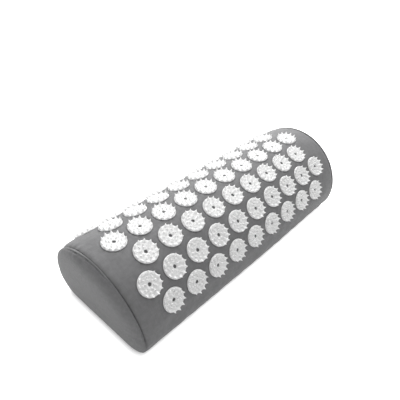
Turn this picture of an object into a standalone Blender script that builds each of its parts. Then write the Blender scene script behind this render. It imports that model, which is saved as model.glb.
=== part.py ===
# Acupressure pillow: a half-round foam bolster in a fabric cover that carries rows of
# spiked plastic discs, with a zip low on its rear side. Metres, +Z up, +X along the
# pillow, +Y to the rear. The origin is on the floor, under the middle of the pillow.

import math

import bmesh
import bpy
import numpy as np
from mathutils import Matrix

# Cushion form
SEAM_LENGTH = 0.370  # end seam to end seam, at half height
WIDTH = 0.150
HEIGHT = 0.103
WIDEST_HEIGHT = 0.0273  # level at which the section is widest
FOOT_ROUND = 0.0228  # how far a lower corner curves in under the widest level
END_OVERHANG = 0.0081  # an end seam leans out by this much from the base to the crown
END_BULGE = 0.0080  # swell of an end panel beyond its seam
SEAM_TUCK = 0.0016  # how far the fabric is drawn in at an end seam
SEAM_ROLL = 0.0060  # length over which the fabric rolls into the seam
ROW_PUFF = 0.0007  # fabric stands this proud between two rows of discs
FABRIC = 0.0012
CLEARANCE = 0.0003

# Spiked discs
DISC_DIAMETER = 0.027
PLATE = 0.0015
HOLE_DIAMETER = 0.0042
SPIKE_HEIGHT = 0.0040
DISC_PITCH = 0.0344  # along a row
ROW_PITCH = 0.0290  # from row to row, round the arch
ROW_SHIFT = -0.0032  # the rows are sewn this far off the middle
END_MARGIN = 0.0125  # least gap from a rim to an end seam
HEM_MARGIN = 0.0100  # least gap from a rim to the zip's hem
DISC_SINK = 0.0002  # how deep a disc that is welded to the panel bites into it
DISC_TURN = math.radians(47.0)  # each disc is turned this much from the one before
SEPARATE_DISCS = 47  # from the lowest front row on, this many discs are pieces of their own

# Zip, in its own frame: along the pillow, up the side, and out from the tapes
TAPE = 0.0007
TAPE_GAP = 0.0026  # between the two tapes' inner edges
TAPE_UNDERLAP = 0.0035  # how far a tape runs under its hem
HEM_GAP = 0.0012  # from the slider's side to a hem
TOOTH_PITCH = 0.0050
TOOTH_THICKNESS = 0.0018
TOOTH_ROOT = 0.0014  # width of the bead that the teeth stand on
TOOTH_REACH = 0.0008  # how far a tooth passes the middle line
STOP_LENGTH = 0.0024
STOP_THICKNESS = 0.0026
STOP_MARGIN = 0.0050  # tape left beyond a stop
STOP_ROUND = 0.0005
SLIDER_LENGTH = 0.0110
SLIDER_WIDTH = 0.0086
SLIDER_PLATE = 0.0010
SLIDER_FLANGE = 0.0010
SLIDER_CORNER = 0.0012
FLANGE_SET = 0.0002  # a flange stands this far in from the plate's edge
WEDGE_LENGTH = 0.0024
WEDGE_WIDTH = 0.0018
BRIDGE_LENGTH = 0.0066
BRIDGE_WIDTH = 0.0018
BRIDGE_BAR = 0.0009
BRIDGE_ROOM = 0.0023  # clear height under the bridge
PULL_LENGTH = 0.0260
PULL_WIDTH = 0.0068
PULL_NECK = 0.0054
PULL_THICKNESS = 0.0012
PULL_BAR = 0.0012
PULL_HOLE = 0.0030
OVERRUN = 0.0010

# Counts and shares
SPIKES = (12, 9, 6)  # from the rim inwards
RIM_STEPS = 24
BACK_STEPS = 12
HOLE_STEPS = 6
BASE_RING_SHARES = (0.71, 0.42)  # rings between the spikes, of the plate's radius
TIP_RING_SHARES = (0.98, 0.56, 0.29)  # tips of the three rings, of the plate's radius
TOOTH_TIP_SHARE = 0.36  # a tooth's width at its tip, of the pitch
TOOTH_FOOT_SHARE = 0.40
BEND_SHARE = 0.7  # cut across the bridge's corners, of its bar
ARC_SAMPLES = 400
ROUND_STEPS = 8  # sides of the pull's hole, and of its rounded end
CORNER_ARC_STEPS = 2  # sides of a slider plate's corner
SHARP_ANGLE = math.radians(40.0)
STEPS_PER_ROW = 2
CORNER_STEPS = 4
BASE_STEPS = 4
ROLL_SHARES = ((0.0, 1.0), (0.3, 0.25), (1.0, 0.0))  # place along the roll, and tuck left there
DOME_SHARES = (1.0, 0.985, 0.94, 0.82, 0.5)  # rings of an end panel, of its outline
DOME_POWER = 7  # the higher, the flatter the end's middle and the rounder its edge
CENTRE_SHARE = 0.45  # height that the rings close in on
HEM_WRAP_SHARE = 1.5  # width of an end panel's seam edge, in fabric thicknesses


def clear_scene():
    for old in list(bpy.data.objects):
        bpy.data.objects.remove(old, do_unlink=True)


def new_collection(name):
    collection = bpy.data.collections.new(name)
    bpy.context.scene.collection.children.link(collection)
    return collection


def new_material(name, colour, roughness, metallic=0.0):
    material = bpy.data.materials.new(name)
    material.use_nodes = True
    shader = material.node_tree.nodes["Principled BSDF"]
    shader.inputs["Base Color"].default_value = (*colour, 1.0)
    shader.inputs["Roughness"].default_value = roughness
    shader.inputs["Metallic"].default_value = metallic
    material.diffuse_color = (*colour, 1.0)
    return material


def new_object(name, mesh, material, collection):
    mesh.materials.clear()
    mesh.materials.append(material)
    piece = bpy.data.objects.new(name, mesh)
    collection.objects.link(piece)
    return piece


# Section of the cushion


def section_table():
    # Arc length from the crown, place and outward normal, down the rear half of the
    # section: an upper quarter ellipse, a lower quarter ellipse and the flat base.
    turn = np.linspace(0.0, math.pi / 2, ARC_SAMPLES)
    sine, cosine = np.sin(turn), np.cos(turn)
    half, rise = WIDTH / 2, HEIGHT - WIDEST_HEIGHT
    upper = (half * sine, WIDEST_HEIGHT + rise * cosine, sine / half, cosine / rise)
    lower = (
        half - FOOT_ROUND + FOOT_ROUND * cosine,
        WIDEST_HEIGHT - WIDEST_HEIGHT * sine,
        cosine / FOOT_ROUND,
        -sine / WIDEST_HEIGHT,
    )
    base = ([0.0], [0.0], [0.0], [-1.0])
    y, z, ny, nz = (np.concatenate((a, b[1:], c)) for a, b, c in zip(upper, lower, base))
    size = np.hypot(ny, nz)
    arc = np.concatenate(([0.0], np.cumsum(np.hypot(np.diff(y), np.diff(z)))))
    return arc, y, z, ny / size, nz / size


def section(arc, inset=0.0):
    # Points of the outline at signed arc lengths from the crown, rear positive, moved
    # in along the normal by the inset.
    table = section_table()
    arc = np.asarray(arc, dtype=float)
    y, z, ny, nz = (np.interp(np.abs(arc), table[0], column) for column in table[1:])
    side = np.where(arc < 0.0, -1.0, 1.0)
    return np.stack((side * (y - inset * ny), z - inset * nz), axis=-1)


def arc_at_widest():
    table = section_table()
    return float(table[0][np.argmax(table[1])])


def arc_at_foot():
    # Arc length from the crown to the edge of the flat base.
    table = section_table()
    return float(table[0][-1]) - (WIDTH / 2 - FOOT_ROUND)


def hem_arc():
    # Arc length from the crown to the cover's hem beside the slider.
    return arc_at_widest() - SLIDER_WIDTH / 2 - HEM_GAP


def rows_each_side():
    return int((hem_arc() - HEM_MARGIN - DISC_DIAMETER / 2) / ROW_PITCH)


def row_arcs():
    # From the lowest row at the front, over the crown, to the lowest row at the rear.
    reach = rows_each_side()
    return [row * ROW_PITCH for row in range(-reach, reach + 1)]


def ridge_arcs():
    # Edges of the flats that the rows of discs sit on.
    reach = rows_each_side()
    return [(row - 0.5) * ROW_PITCH for row in range(-reach, reach + 2)]


def flat_section(arc, inset=0.0):
    # The outline where the discs are: a straight run under each row, between ridges
    # that stand proud.
    ridges = np.array(ridge_arcs())
    corners = section(ridges, inset - ROW_PUFF)
    arc = np.asarray(arc, dtype=float)
    straight = np.stack([np.interp(arc, ridges, corners[:, axis]) for axis in (0, 1)], axis=-1)
    within = (arc >= ridges[0]) & (arc <= ridges[-1])
    return np.where(within[:, None], straight, section(arc, inset))


def even_steps(start, stop, steps):
    return list(np.linspace(start, stop, steps + 1)[1:])


def front_arcs():
    # From the front edge of the flat base up to the first ridge.
    ridge, foot, widest = ridge_arcs()[0], -arc_at_foot(), -arc_at_widest()
    return [foot] + even_steps(foot, widest, CORNER_STEPS) + even_steps(widest, ridge, 1)


def top_arcs():
    # From the front foot, over the crown, down to the hem above the zip.
    ridges = ridge_arcs()
    rows = even_steps(ridges[0], ridges[-1], STEPS_PER_ROW * (len(ridges) - 1))
    under = hem_arc() - TAPE_UNDERLAP
    last = [under] if under > ridges[-1] + TAPE_UNDERLAP / 2 else []
    return front_arcs() + rows + last + [hem_arc()]


def base_arcs():
    # From the front foot, across the base, up the rear corner to the hem below the zip.
    foot, hem = arc_at_foot(), 2 * arc_at_widest() - hem_arc()
    middle = foot + WIDTH / 2 - FOOT_ROUND
    across = [-foot] + even_steps(-foot, -middle, BASE_STEPS // 2)
    back = even_steps(middle, foot, BASE_STEPS // 2)
    return across + back + even_steps(foot, hem + TAPE_UNDERLAP, CORNER_STEPS - 1) + [hem]


def ring_arcs():
    # The whole closed outline: the top panel's, then the base panel's back to the start.
    return top_arcs() + base_arcs()[:0:-1]


def end_x(height, inwards=0.0):
    # Distance from the middle to the end seam at a height, less a distance inwards.
    return SEAM_LENGTH / 2 + END_OVERHANG * (height / HEIGHT - 0.5) - inwards


def stations():
    # Distance in from an end seam, tuck and how far the flats are formed, seam to middle.
    rolls = [(SEAM_ROLL * along, SEAM_TUCK * tuck, 0.0) for along, tuck in ROLL_SHARES]
    return rolls + [(END_MARGIN, 0.0, 1.0)]


def cover_grid(arcs, inset):
    # Cover surface as rings of points from one end seam to the other, at an inset.
    def ring(side, inwards, tuck, flats):
        outline = (1 - flats) * section(arcs, inset + tuck) + flats * flat_section(arcs, inset)
        x = side * end_x(outline[:, 1], inwards + CLEARANCE / 2)
        return np.column_stack((x, outline))

    near = [ring(-1.0, *station) for station in stations()]
    far = [ring(1.0, *station) for station in reversed(stations())]
    return np.array(near + far)


def end_grid(side, arcs, inset, depth, swell_from=CLEARANCE / 2):
    # Rings of a domed end, from the seam to near the middle. The dome's height is the
    # bulge times the root of 1 less a high power of the ring's share.
    outline = section(arcs, SEAM_TUCK + inset)
    centre = np.array((0.0, CENTRE_SHARE * HEIGHT))
    rings = []
    for share in DOME_SHARES:
        points = centre + share * (outline - centre)
        swell = swell_from + END_BULGE * math.sqrt(1 - share**DOME_POWER) - depth
        rings.append(np.column_stack((side * (end_x(points[:, 1]) + swell), points)))
    return np.array(rings)


# Mesh helpers


def mesh_from(name, points, faces):
    mesh = bpy.data.meshes.new(name)
    mesh.from_pydata([tuple(point) for point in points], [], faces)
    shape = bmesh.new()
    shape.from_mesh(mesh)
    bmesh.ops.recalc_face_normals(shape, faces=shape.faces)
    shape.to_mesh(mesh)
    shape.free()
    mesh.shade_smooth()
    mesh.set_sharp_from_angle(angle=SHARP_ANGLE)
    return mesh


def grid_faces(rings, count, first, closed):
    span = count if closed else count - 1
    faces = []
    for ring in range(rings - 1):
        for step in range(span):
            a, b = first + ring * count + step, first + ring * count + (step + 1) % count
            faces.append((a, b, b + count, a + count))
    return faces


def sheet_mesh(name, outer, inner):
    # A fabric panel: two like grids of points, joined all round their edges.
    rings, count, _ = outer.shape
    second = rings * count
    faces = grid_faces(rings, count, 0, False) + grid_faces(rings, count, second, False)
    border = [step for step in range(count)]
    border += [(ring + 1) * count - 1 for ring in range(1, rings)]
    border += [(rings - 1) * count + step for step in range(count - 2, -1, -1)]
    border += [ring * count for ring in range(rings - 2, 0, -1)]
    for a, b in zip(border, border[1:] + border[:1]):
        faces.append((a, b, b + second, a + second))
    return mesh_from(name, np.concatenate((outer.reshape(-1, 3), inner.reshape(-1, 3))), faces)


def dish_mesh(name, outer, inner):
    # A domed panel: two nested sets of closed rings, joined at the outermost ring.
    rings, count, _ = outer.shape
    second = rings * count
    faces = grid_faces(rings, count, 0, True) + grid_faces(rings, count, second, True)
    faces += [(a, (a + 1) % count, (a + 1) % count + second, a + second) for a in range(count)]
    faces += [tuple(range(second - count, second)), tuple(range(2 * second - count, 2 * second))]
    return mesh_from(name, np.concatenate((outer.reshape(-1, 3), inner.reshape(-1, 3))), faces)


def solid_mesh(name, rings_of_points):
    # A closed body: a tube of rings, shut by its first and last ring.
    rings, count, _ = rings_of_points.shape
    faces = grid_faces(rings, count, 0, True)
    faces += [tuple(range(count)), tuple(range((rings - 1) * count, rings * count))]
    return mesh_from(name, rings_of_points.reshape(-1, 3), faces)


def box_mesh(name, low, high):
    shape = bmesh.new()
    bmesh.ops.create_cube(shape, size=1.0)
    low, high = np.array(low), np.array(high)
    for vert in shape.verts:
        vert.co = low + (high - low) * (np.array(vert.co) + 0.5)
    mesh = bpy.data.meshes.new(name)
    shape.to_mesh(mesh)
    shape.free()
    return mesh


def outline_mesh(name, outlines, thickness):
    # A flat plate: closed outlines, holes among them, extruded evenly about their plane.
    curve = bpy.data.curves.new(name, "CURVE")
    curve.dimensions = "2D"
    curve.fill_mode = "BOTH"
    curve.extrude = thickness / 2
    for points in outlines:
        spline = curve.splines.new("POLY")
        spline.points.add(len(points) - 1)
        spline.use_cyclic_u = True
        for point, (x, y) in zip(spline.points, points):
            point.co = (x, y, 0.0, 1.0)
    guide = bpy.data.objects.new(name, curve)
    bpy.context.scene.collection.objects.link(guide)
    evaluated = guide.evaluated_get(bpy.context.evaluated_depsgraph_get())
    mesh = bpy.data.meshes.new_from_object(evaluated)
    bpy.data.objects.remove(guide)
    shape = bmesh.new()
    shape.from_mesh(mesh)
    bmesh.ops.remove_doubles(shape, verts=shape.verts, dist=CLEARANCE / 100)
    bmesh.ops.recalc_face_normals(shape, faces=shape.faces)
    shape.to_mesh(mesh)
    shape.free()
    return mesh


def combine(piece, other, operation, cutters):
    # Boolean of a piece with another object, which moves to the cutters.
    for collection in list(other.users_collection):
        collection.objects.unlink(other)
    cutters.objects.link(other)
    other.hide_render = True
    other.display_type = "WIRE"
    modifier = piece.modifiers.new(other.name, "BOOLEAN")
    modifier.operation = operation
    modifier.solver = "EXACT"
    modifier.material_mode = "TRANSFER"
    modifier.object = other


# Foam core and cover


def make_foam_core(material, parts, cutters):
    wall = FABRIC + CLEARANCE
    edge = HEM_WRAP_SHARE * FABRIC + CLEARANCE
    arcs = ring_arcs()
    body = cover_grid(arcs, wall)[1:-1]
    near = end_grid(-1.0, arcs, edge, wall)[::-1]
    far = end_grid(1.0, arcs, edge, wall)
    core = new_object("foam_core", solid_mesh("foam_core", np.concatenate((near, body, far))),
                      material, parts)
    half = tape_reach() + CLEARANCE
    floor = zip_plane() - slider_back() - CLEARANCE
    low = (-SEAM_LENGTH, floor, WIDEST_HEIGHT - half)
    high = (SEAM_LENGTH, WIDTH / 2 + OVERRUN, WIDEST_HEIGHT + half)
    relief = new_object("zip_relief", box_mesh("zip_relief", low, high), material, cutters)
    combine(core, relief, "DIFFERENCE", cutters)
    return core


def make_top_panel(fabric, plastic, parts, cutters):
    # The discs of the rear rows are welded to it, as if riveted through.
    arcs = top_arcs()
    arcs[0] += CLEARANCE / 2
    mesh = sheet_mesh("top_panel", cover_grid(arcs, 0.0), cover_grid(arcs, FABRIC))
    panel = new_object("top_panel", mesh, fabric, parts)
    for number, seat in enumerate(disc_seats()[SEPARATE_DISCS:], start=SEPARATE_DISCS):
        welded = place_disc("welded_disc_%d" % number, seat, number, -DISC_SINK, plastic, cutters)
        combine(panel, welded, "UNION", cutters)
    return panel


def make_base_panel(material, parts):
    arcs = base_arcs()
    arcs[0] -= CLEARANCE / 2
    mesh = sheet_mesh("base_panel", cover_grid(arcs, 0.0), cover_grid(arcs, FABRIC))
    return new_object("base_panel", mesh, material, parts)


def make_end_panel(name, side, material, parts):
    arcs = ring_arcs()
    outer = end_grid(side, arcs, 0.0, 0.0)
    inner = end_grid(side, arcs, HEM_WRAP_SHARE * FABRIC, FABRIC)
    inner[0, :, 0] = side * (end_x(inner[0, :, 2]) + CLEARANCE / 2)
    return new_object(name, dish_mesh(name, outer, inner), material, parts)


# Spiked discs


def ring_verts(shape, count, radius, height, start=0.0):
    steps = [start + math.tau * step / count for step in range(count)]
    return [shape.verts.new((radius * math.cos(a), radius * math.sin(a), height)) for a in steps]


def bridge_rings(shape, outer, inner):
    # Triangles between two rings of any counts: the ring that is behind in angle steps on.
    faces_on_inner, faces_on_outer = [], []
    out_step = in_step = 0
    while out_step < len(outer) or in_step < len(inner):
        a, b = outer[out_step % len(outer)], inner[in_step % len(inner)]
        if out_step / len(outer) <= in_step / len(inner):
            nxt = outer[(out_step + 1) % len(outer)]
            faces_on_outer.append(shape.faces.new((a, nxt, b)))
            out_step += 1
        else:
            nxt = inner[(in_step + 1) % len(inner)]
            faces_on_inner.append(shape.faces.new((a, nxt, b)))
            in_step += 1
    return faces_on_outer, faces_on_inner


def raise_spikes(shape, faces, tip_radius, tip_height):
    # Each face becomes a spike: it is poked, and its new point is moved out and up.
    for face in faces:
        poked = bmesh.ops.poke(shape, faces=[face])
        tip = poked["verts"][0]
        angle = math.atan2(tip.co.y, tip.co.x)
        tip.co = (tip_radius * math.cos(angle), tip_radius * math.sin(angle), tip_height)


def disc_mesh():
    # One closed skin: back, rim, spiked front and centre hole. The rings between the
    # spikes share their corners, so that each of the spikes costs few faces.
    shape = bmesh.new()
    radius, hole = DISC_DIAMETER / 2, HOLE_DIAMETER / 2
    back = ring_verts(shape, BACK_STEPS, radius, 0.0)
    rim = ring_verts(shape, RIM_STEPS, radius, PLATE)
    outer = ring_verts(shape, SPIKES[0], radius * BASE_RING_SHARES[0], PLATE,
                       start=math.tau / RIM_STEPS / 2)
    middle = ring_verts(shape, SPIKES[1], radius * BASE_RING_SHARES[1], PLATE)
    front_hole = ring_verts(shape, HOLE_STEPS, hole, PLATE)
    back_hole = ring_verts(shape, HOLE_STEPS, hole, 0.0)
    bridge_rings(shape, back, rim)
    bridge_rings(shape, back_hole, back)
    bridge_rings(shape, front_hole, back_hole)
    on_rim, _ = bridge_rings(shape, rim, outer)
    _, on_middle = bridge_rings(shape, outer, middle)
    _, on_hole = bridge_rings(shape, middle, front_hole)
    tips = [radius * share for share in TIP_RING_SHARES]
    height = PLATE + SPIKE_HEIGHT
    raise_spikes(shape, on_rim[::2], tips[0], height)
    raise_spikes(shape, on_middle, tips[1], height)
    raise_spikes(shape, on_hole, tips[2], height)
    bmesh.ops.recalc_face_normals(shape, faces=shape.faces)
    mesh = bpy.data.meshes.new("spiked_disc")
    shape.to_mesh(mesh)
    shape.free()
    return mesh


def disc_seats():
    # Place and tilt of every disc, row by row from the front. Long rows take as many
    # discs as fit between the end seams; every other row has one less, half a pitch on.
    room = SEAM_LENGTH - 2 * END_MARGIN - DISC_DIAMETER - 2 * abs(ROW_SHIFT)
    longest = int(room / DISC_PITCH) + 1
    seats = []
    for row, arc in enumerate(row_arcs(), start=1):
        count = longest - (row - 1 - rows_each_side()) % 2
        low, high = flat_section([arc - ROW_PITCH / 4, arc + ROW_PITCH / 4])
        middle, along = (low + high) / 2, high - low
        tilt = math.atan2(along[1], along[0])
        for step in range(count):
            x = ROW_SHIFT + (step - (count - 1) / 2) * DISC_PITCH
            seats.append({"row": row, "step": step + 1, "at": (x, *middle), "tilt": tilt})
    return seats


def place_disc(name, seat, number, lift, material, collection):
    if "spiked_disc" not in bpy.data.meshes:
        disc_mesh()
    disc = new_object(name, bpy.data.meshes["spiked_disc"], material, collection)
    placed = Matrix.Translation(seat["at"]) @ Matrix.Rotation(seat["tilt"], 4, "X")
    turned = Matrix.Rotation(number * DISC_TURN, 4, "Z")
    disc.matrix_world = placed @ Matrix.Translation((0.0, 0.0, lift)) @ turned
    return disc


def make_discs(material, parts):
    for number, seat in enumerate(disc_seats()[:SEPARATE_DISCS]):
        name = "disc_row%d_%02d" % (seat["row"], seat["step"])
        place_disc(name, seat, number, CLEARANCE, material, parts)


# Zip


def tape_reach():
    # From the zip's middle line to a tape's outer edge.
    return arc_at_widest() - hem_arc() + TAPE_UNDERLAP


def zip_plane():
    # Distance of the tapes' middle plane from the pillow's middle: just inside the cover.
    edges = section([arc_at_widest() - tape_reach(), arc_at_widest() + tape_reach()], FABRIC)
    return float(edges[:, 0].min()) - 2 * CLEARANCE - TAPE / 2


def tape_half():
    return end_x(WIDEST_HEIGHT, SEAM_ROLL)


def stop_face():
    # Distance from the middle to the inner face of a stop.
    return tape_half() - STOP_MARGIN - STOP_LENGTH


def slider_back():
    # Depth of the slider's back plate behind the tapes' middle plane.
    return TAPE / 2 + CLEARANCE + SLIDER_PLATE


def tooth_floor():
    return TAPE / 2 + CLEARANCE


def slider_roof():
    # Underside of the slider's front plate, in front of the tapes' middle plane.
    return tooth_floor() + TOOTH_THICKNESS + CLEARANCE


def slider_x():
    # The slider's place with the zip closed.
    return stop_face() - CLEARANCE - SLIDER_LENGTH / 2


def set_in_zip(piece, along, out):
    piece.location = (along, zip_plane() + out, WIDEST_HEIGHT)
    piece.rotation_euler = (-math.pi / 2, 0.0, 0.0)


def make_tape(name, side, material, parts):
    inner, outer = TAPE_GAP / 2, tape_reach()
    low = (-tape_half(), min(side * inner, side * outer), -TAPE / 2)
    high = (tape_half(), max(side * inner, side * outer), TAPE / 2)
    tape = new_object(name, box_mesh(name, low, high), material, parts)
    set_in_zip(tape, 0.0, 0.0)
    return tape


def make_teeth(name, side, offset, material, parts):
    # A comb: a bead along the tape's edge, with tapered teeth that pass the middle line.
    # The other row stands half a pitch on, so that the two rows mesh. Both end inside the
    # slider, short of its wedge.
    edge = TOOTH_REACH + CLEARANCE
    back = edge + TOOTH_ROOT
    start = -stop_face() + CLEARANCE
    end = slider_x() + SLIDER_LENGTH / 2 - 2 * WEDGE_LENGTH
    points = [(start, side * back), (end, side * back), (end, side * edge)]
    foot, tip = TOOTH_PITCH * TOOTH_FOOT_SHARE / 2, TOOTH_PITCH * TOOTH_TIP_SHARE / 2
    count = int((end - start - 2 * TOOTH_PITCH) / TOOTH_PITCH)
    for step in range(count, -1, -1):
        x = start + TOOTH_PITCH * (step + offset) + TOOTH_PITCH / 2
        points += [(x + foot, side * edge), (x + tip, -side * TOOTH_REACH)]
        points += [(x - tip, -side * TOOTH_REACH), (x - foot, side * edge)]
    points.append((start, side * edge))
    teeth = new_object(name, outline_mesh(name, [points], TOOTH_THICKNESS), material, parts)
    set_in_zip(teeth, 0.0, tooth_floor() + TOOTH_THICKNESS / 2)
    return teeth


def make_stop(name, side, material, parts):
    half = TOOTH_REACH + CLEARANCE + TOOTH_ROOT
    low = (-STOP_LENGTH / 2, -half, 0.0)
    high = (STOP_LENGTH / 2, half, STOP_THICKNESS)
    stop = new_object(name, box_mesh(name, low, high), material, parts)
    rounded = stop.modifiers.new("rounded", "BEVEL")
    rounded.width = STOP_ROUND
    rounded.segments = 1
    set_in_zip(stop, side * (stop_face() + STOP_LENGTH / 2), tooth_floor())
    return stop


def rounded_rectangle(length, width, corner):
    # Outline about the origin, with an arc at each corner.
    points = []
    for quarter in range(4):
        cx = (length / 2 - corner) * (1, -1, -1, 1)[quarter]
        cy = (width / 2 - corner) * (1, 1, -1, -1)[quarter]
        for step in range(CORNER_ARC_STEPS + 1):
            angle = math.pi / 2 * (quarter + step / CORNER_ARC_STEPS)
            points.append((cx + corner * math.cos(angle), cy + corner * math.sin(angle)))
    return points


def make_slider(material, parts, cutters):
    # Back plate, front plate with side flanges, the wedge that parts the teeth, and the
    # bridge that holds the pull. Its mouth is towards +X.
    plate = rounded_rectangle(SLIDER_LENGTH, SLIDER_WIDTH, SLIDER_CORNER)
    slider = new_object("zip_slider", outline_mesh("zip_slider", [plate], SLIDER_PLATE), material, parts)
    back = -slider_back() + SLIDER_PLATE / 2
    roof = slider_roof()
    front = roof + SLIDER_PLATE / 2
    slider.data.transform(Matrix.Translation((0.0, 0.0, back)))
    extras = [outline_mesh("front_plate", [plate], SLIDER_PLATE)]
    extras[0].transform(Matrix.Translation((0.0, 0.0, front)))
    for side in (-1, 1):
        inner, outer = side * (SLIDER_WIDTH / 2 - SLIDER_FLANGE), side * (SLIDER_WIDTH / 2 - FLANGE_SET)
        reach = SLIDER_LENGTH / 2 - SLIDER_CORNER - FLANGE_SET
        low = (-reach, min(inner, outer), tooth_floor())
        extras.append(box_mesh("flange", low, (reach, max(inner, outer), front)))
    mouth = SLIDER_LENGTH / 2 - WEDGE_LENGTH / 2 - SLIDER_CORNER / 2
    wedge = [(mouth - WEDGE_LENGTH / 2, 0.0), (mouth, -WEDGE_WIDTH / 2),
             (mouth + WEDGE_LENGTH / 2, 0.0), (mouth, WEDGE_WIDTH / 2)]
    post = outline_mesh("wedge", [wedge], front - back)
    post.transform(Matrix.Translation((0.0, 0.0, (front + back) / 2)))
    extras.append(post)
    extras.append(bridge_mesh(roof + SLIDER_PLATE))
    for number, mesh in enumerate(extras):
        extra = new_object("slider_extra_%d" % number, mesh, material, cutters)
        set_in_zip(extra, slider_x(), 0.0)
        combine(slider, extra, "UNION", cutters)
    set_in_zip(slider, slider_x(), 0.0)
    return slider


def bridge_mesh(top):
    # An arch along the slider, open from side to side, sunk into the front plate.
    half, inner = BRIDGE_LENGTH / 2, BRIDGE_LENGTH / 2 - BRIDGE_BAR
    sunk, room, crown = top - SLIDER_PLATE / 2, top + BRIDGE_ROOM, top + BRIDGE_ROOM + BRIDGE_BAR
    bend = BRIDGE_BAR * BEND_SHARE
    arch = [(-half, sunk), (-inner, sunk), (-inner, room - bend), (-inner + bend, room),
            (inner - bend, room), (inner, room - bend), (inner, sunk), (half, sunk),
            (half, crown - bend), (half - bend, crown), (-half + bend, crown), (-half, crown - bend)]
    mesh = outline_mesh("bridge", [arch], BRIDGE_WIDTH)
    mesh.transform(Matrix.Rotation(math.pi / 2, 4, "X"))
    return mesh


def pull_out():
    # The pull's pivot, in front of the tapes' middle plane: mid-way under the bridge.
    return slider_roof() + SLIDER_PLATE + BRIDGE_ROOM / 2


def make_pull(material, parts):
    # A stamped tab that lies back over the teeth. Its eye goes round the bridge, and the
    # bar across the eye's end is the pivot.
    bar, neck, wide = PULL_BAR / 2, PULL_NECK / 2, PULL_WIDTH / 2
    eye_end = BRIDGE_LENGTH / 2 + 3 * CLEARANCE + bar
    eye_half = BRIDGE_WIDTH / 2 + CLEARANCE
    shoulder = eye_end + wide
    round_at = PULL_LENGTH - wide
    outer = [(bar, -neck), (bar, neck), (-eye_end, neck), (-shoulder, wide)]
    for step in range(ROUND_STEPS + 1):
        angle = math.pi / 2 + math.pi * step / ROUND_STEPS
        outer.append((-round_at + wide * math.cos(angle), wide * math.sin(angle)))
    outer += [(-shoulder, -wide), (-eye_end, -neck)]
    eye = [(-bar, -eye_half), (-bar, eye_half), (-eye_end, eye_half), (-eye_end, -eye_half)]
    hole = []
    for step in range(ROUND_STEPS):
        angle = math.tau * step / ROUND_STEPS
        hole.append((-round_at + PULL_HOLE / 2 * math.cos(angle), PULL_HOLE / 2 * math.sin(angle)))
    pull = new_object("zip_pull", outline_mesh("zip_pull", [outer, eye, hole], PULL_THICKNESS),
                      material, parts)
    set_in_zip(pull, slider_x(), pull_out())
    return pull


def main():
    clear_scene()
    parts = new_collection("acupressure_pillow")
    cutters = new_collection("cutters")
    fabric = new_material("grey_fabric", (0.23, 0.23, 0.23), 0.85)
    foam = new_material("white_foam", (0.80, 0.79, 0.74), 0.9)
    plastic = new_material("white_plastic", (0.86, 0.86, 0.86), 0.35)
    tape = new_material("zip_tape_grey", (0.16, 0.16, 0.16), 0.9)
    nylon = new_material("zip_nylon", (0.12, 0.12, 0.12), 0.45)
    metal = new_material("zip_nickel", (0.62, 0.62, 0.62), 0.3, 1.0)
    make_foam_core(foam, parts, cutters)
    make_top_panel(fabric, plastic, parts, cutters)
    make_base_panel(fabric, parts)
    make_end_panel("near_end_panel", -1.0, fabric, parts)
    make_end_panel("far_end_panel", 1.0, fabric, parts)
    make_discs(plastic, parts)
    make_tape("zip_tape_upper", -1, tape, parts)
    make_tape("zip_tape_lower", 1, tape, parts)
    make_teeth("zip_teeth_upper", -1, 0.0, nylon, parts)
    make_teeth("zip_teeth_lower", 1, 0.5, nylon, parts)
    make_stop("zip_stop_closed_end", 1, metal, parts)
    make_stop("zip_stop_open_end", -1, metal, parts)
    make_slider(metal, parts, cutters)
    make_pull(metal, parts)


main()
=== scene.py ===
import math

import bmesh
import bpy
import numpy as np
from mathutils import Matrix


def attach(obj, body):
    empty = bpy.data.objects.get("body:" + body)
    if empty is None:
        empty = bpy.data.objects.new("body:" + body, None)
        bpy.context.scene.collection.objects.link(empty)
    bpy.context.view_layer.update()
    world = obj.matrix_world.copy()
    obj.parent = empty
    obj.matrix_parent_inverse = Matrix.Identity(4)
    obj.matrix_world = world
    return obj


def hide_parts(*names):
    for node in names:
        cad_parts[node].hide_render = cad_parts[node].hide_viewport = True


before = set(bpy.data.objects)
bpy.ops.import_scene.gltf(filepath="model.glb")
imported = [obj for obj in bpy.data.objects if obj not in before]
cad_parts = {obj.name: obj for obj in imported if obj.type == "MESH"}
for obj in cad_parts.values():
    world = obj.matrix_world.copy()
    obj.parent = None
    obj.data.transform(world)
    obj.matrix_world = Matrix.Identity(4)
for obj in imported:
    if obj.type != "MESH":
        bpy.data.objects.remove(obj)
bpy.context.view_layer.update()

# Half-round acupressure pillow: a foam core in a grey woven cover, rows of spiked white
# discs, and a zip low on the rear side. Shapes are worked out in millimetres. The near
# end is at negative x, and the front at negative y.

mm = 0.001

look = {
    "place": (-341.2, -271.5, 405.9),
    "heading": -50.06,  # degrees about the vertical
    "down": 38.8,  # degrees below level
    "roll": 3.95,  # degrees about the line of sight
    "lens": 38.75,
    "sensor": 36.0,
    "shift": (-0.015, 0.025),
    "clip": (10.0, 20000.0),
}

light = {
    # Two soft lamps, high and low, behind the pillow as the camera sees it
    "lamps": {
        "high": {"place": (690.0, 578.0, 1559.0), "size": 2400.0, "watts": 25.0},
        "low": {"place": (1194.0, 1002.0, 900.0), "size": 1800.0, "watts": 23.5},
    },
    "ambient": 0.50,
    "floorSize": 9000.0,
    "floorLift": 0.9,  # glow for the camera, mirrors and glass, so that the floor is white
    "floorShade": 6.0,  # near the pillow ambient occlusion takes the glow away over this distance: a painted contact shadow
    "floorSamples": 16,
}

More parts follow.
